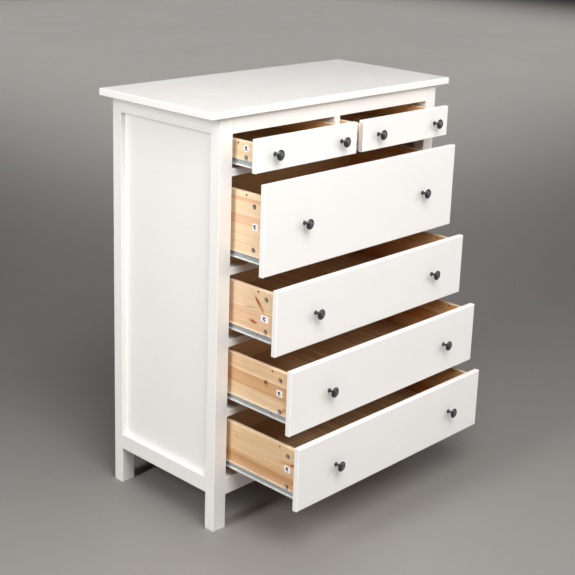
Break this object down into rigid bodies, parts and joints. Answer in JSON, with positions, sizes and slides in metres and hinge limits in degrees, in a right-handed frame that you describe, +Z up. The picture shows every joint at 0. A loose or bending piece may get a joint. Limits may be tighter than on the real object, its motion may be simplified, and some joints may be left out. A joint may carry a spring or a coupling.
{
  "type": "tall chest of drawers",
  "caption": "Tall white chest on square legs: small drawers side by side over full-width drawers, each sliding on steel channels with rollers, opened by dark mushroom knobs.",
  "frame": {"origin": "on the floor, under the middle of the top panel", "axes": "+X to the chest's right-hand side seen from the front, -Y out of the drawer fronts, +Z up"},
  "size_m": [1.08, 0.8095, 1.31],
  "materials": {
    "white_paint": "smooth white satin paint over board and pine",
    "pine": "clear-lacquered edge-glued pine",
    "printed_board": "thin fibreboard with a printed wood-strip foil",
    "hardboard": "bare brown hardboard outside",
    "beech": "fluted beech",
    "zinc_steel": "bright zinc-plated pressed steel",
    "fastener_steel": "zinc-plated steel",
    "drawer_fittings": "zinc-plated steel; the adjusters and glides are white plastic",
    "black_plastic": "black moulded plastic",
    "dark_cast_metal": "dark grey satin lacquer on cast zinc"
  },
  "bodies": {
    "case": {"top_panel": "white_paint", "side_panels": "white_paint", "front_posts": "white_paint", "rear_posts": "white_paint", "side_rails": "white_paint", "front_rails": "white_paint", "rear_rails": "white_paint", "centre_partition": "white_paint", "back_panel": "hardboard", "case_runners": "zinc_steel", "case_fasteners": "fastener_steel", "frame_dowels": "beech"},
    "small_left_drawer": {"small_left_drawer_front": "white_paint", "small_left_drawer_sides": "pine", "small_left_drawer_back": "pine", "small_left_drawer_bottom": "printed_board", "small_left_drawer_knobs": "dark_cast_metal", "small_left_drawer_runners": "zinc_steel", "small_left_drawer_fittings": "drawer_fittings"},
    "small_right_drawer": {"small_right_drawer_front": "white_paint", "small_right_drawer_sides": "pine", "small_right_drawer_back": "pine", "small_right_drawer_bottom": "printed_board", "small_right_drawer_knobs": "dark_cast_metal", "small_right_drawer_runners": "zinc_steel", "small_right_drawer_fittings": "drawer_fittings"},
    "wide_drawer_1": {"wide_drawer_1_front": "white_paint", "wide_drawer_1_sides": "pine", "wide_drawer_1_back": "pine", "wide_drawer_1_bottom": "printed_board", "wide_drawer_1_knobs": "dark_cast_metal", "wide_drawer_1_runners": "zinc_steel", "wide_drawer_1_fittings": "drawer_fittings"},
    "wide_drawer_2": {"wide_drawer_2_front": "white_paint", "wide_drawer_2_sides": "pine", "wide_drawer_2_back": "pine", "wide_drawer_2_bottom": "printed_board", "wide_drawer_2_knobs": "dark_cast_metal", "wide_drawer_2_runners": "zinc_steel", "wide_drawer_2_fittings": "drawer_fittings"},
    "wide_drawer_3": {"wide_drawer_3_front": "white_paint", "wide_drawer_3_sides": "pine", "wide_drawer_3_back": "pine", "wide_drawer_3_bottom": "printed_board", "wide_drawer_3_knobs": "dark_cast_metal", "wide_drawer_3_runners": "zinc_steel", "wide_drawer_3_fittings": "drawer_fittings"},
    "wide_drawer_4": {"wide_drawer_4_front": "white_paint", "wide_drawer_4_sides": "pine", "wide_drawer_4_back": "pine", "wide_drawer_4_bottom": "printed_board", "wide_drawer_4_knobs": "dark_cast_metal", "wide_drawer_4_runners": "zinc_steel", "wide_drawer_4_fittings": "drawer_fittings"},
    "small_left_drawer_rollers": {"small_left_drawer_rollers": "black_plastic"},
    "small_right_drawer_rollers": {"small_right_drawer_rollers": "black_plastic"},
    "wide_drawer_1_rollers": {"wide_drawer_1_rollers": "black_plastic"},
    "wide_drawer_2_rollers": {"wide_drawer_2_rollers": "black_plastic"},
    "wide_drawer_3_rollers": {"wide_drawer_3_rollers": "black_plastic"},
    "wide_drawer_4_rollers": {"wide_drawer_4_rollers": "black_plastic"}
  },
  "joints": [
    {"name": "small_left_drawer_slide", "type": "slide", "parent": "case", "child": "small_left_drawer", "axis": [0, -1, 0], "range_m": [-0.095, 0.24]},
    {"name": "small_right_drawer_slide", "type": "slide", "parent": "case", "child": "small_right_drawer", "axis": [0, -1, 0], "range_m": [-0.094, 0.241]},
    {"name": "wide_drawer_1_slide", "type": "slide", "parent": "case", "child": "wide_drawer_1", "axis": [0, -1, 0], "range_m": [-0.133, 0.202]},
    {"name": "wide_drawer_2_slide", "type": "slide", "parent": "case", "child": "wide_drawer_2", "axis": [0, -1, 0], "range_m": [-0.191, 0.144]},
    {"name": "wide_drawer_3_slide", "type": "slide", "parent": "case", "child": "wide_drawer_3", "axis": [0, -1, 0], "range_m": [-0.257, 0.078]},
    {"name": "wide_drawer_4_slide", "type": "slide", "parent": "case", "child": "wide_drawer_4", "axis": [0, -1, 0], "range_m": [-0.296, 0.039]},
    {"name": "small_left_drawer_roller_spin", "type": "hinge", "parent": "case", "child": "small_left_drawer_rollers", "pos_m": [-0.2275, -0.205, 1.159], "axis": [1, 0, 0], "continuous": true},
    {"name": "small_right_drawer_roller_spin", "type": "hinge", "parent": "case", "child": "small_right_drawer_rollers", "pos_m": [0.2275, -0.205, 1.159], "axis": [1, 0, 0], "continuous": true},
    {"name": "wide_drawer_1_roller_spin", "type": "hinge", "parent": "case", "child": "wide_drawer_1_rollers", "pos_m": [0, -0.205, 0.885], "axis": [1, 0, 0], "continuous": true},
    {"name": "wide_drawer_2_roller_spin", "type": "hinge", "parent": "case", "child": "wide_drawer_2_rollers", "pos_m": [0, -0.205, 0.661], "axis": [1, 0, 0], "continuous": true},
    {"name": "wide_drawer_3_roller_spin", "type": "hinge", "parent": "case", "child": "wide_drawer_3_rollers", "pos_m": [0, -0.205, 0.437], "axis": [1, 0, 0], "continuous": true},
    {"name": "wide_drawer_4_roller_spin", "type": "hinge", "parent": "case", "child": "wide_drawer_4_rollers", "pos_m": [0, -0.205, 0.213], "axis": [1, 0, 0], "continuous": true}
  ],
  "couplings": [
    {"joint": "small_left_drawer_roller_spin", "follows": "small_left_drawer_slide", "rad_per_m": 117.65},
    {"joint": "small_right_drawer_roller_spin", "follows": "small_right_drawer_slide", "rad_per_m": 117.65},
    {"joint": "wide_drawer_1_roller_spin", "follows": "wide_drawer_1_slide", "rad_per_m": 117.65},
    {"joint": "wide_drawer_2_roller_spin", "follows": "wide_drawer_2_slide", "rad_per_m": 117.65},
    {"joint": "wide_drawer_3_roller_spin", "follows": "wide_drawer_3_slide", "rad_per_m": 117.65},
    {"joint": "wide_drawer_4_roller_spin", "follows": "wide_drawer_4_slide", "rad_per_m": 117.65}
  ]
}
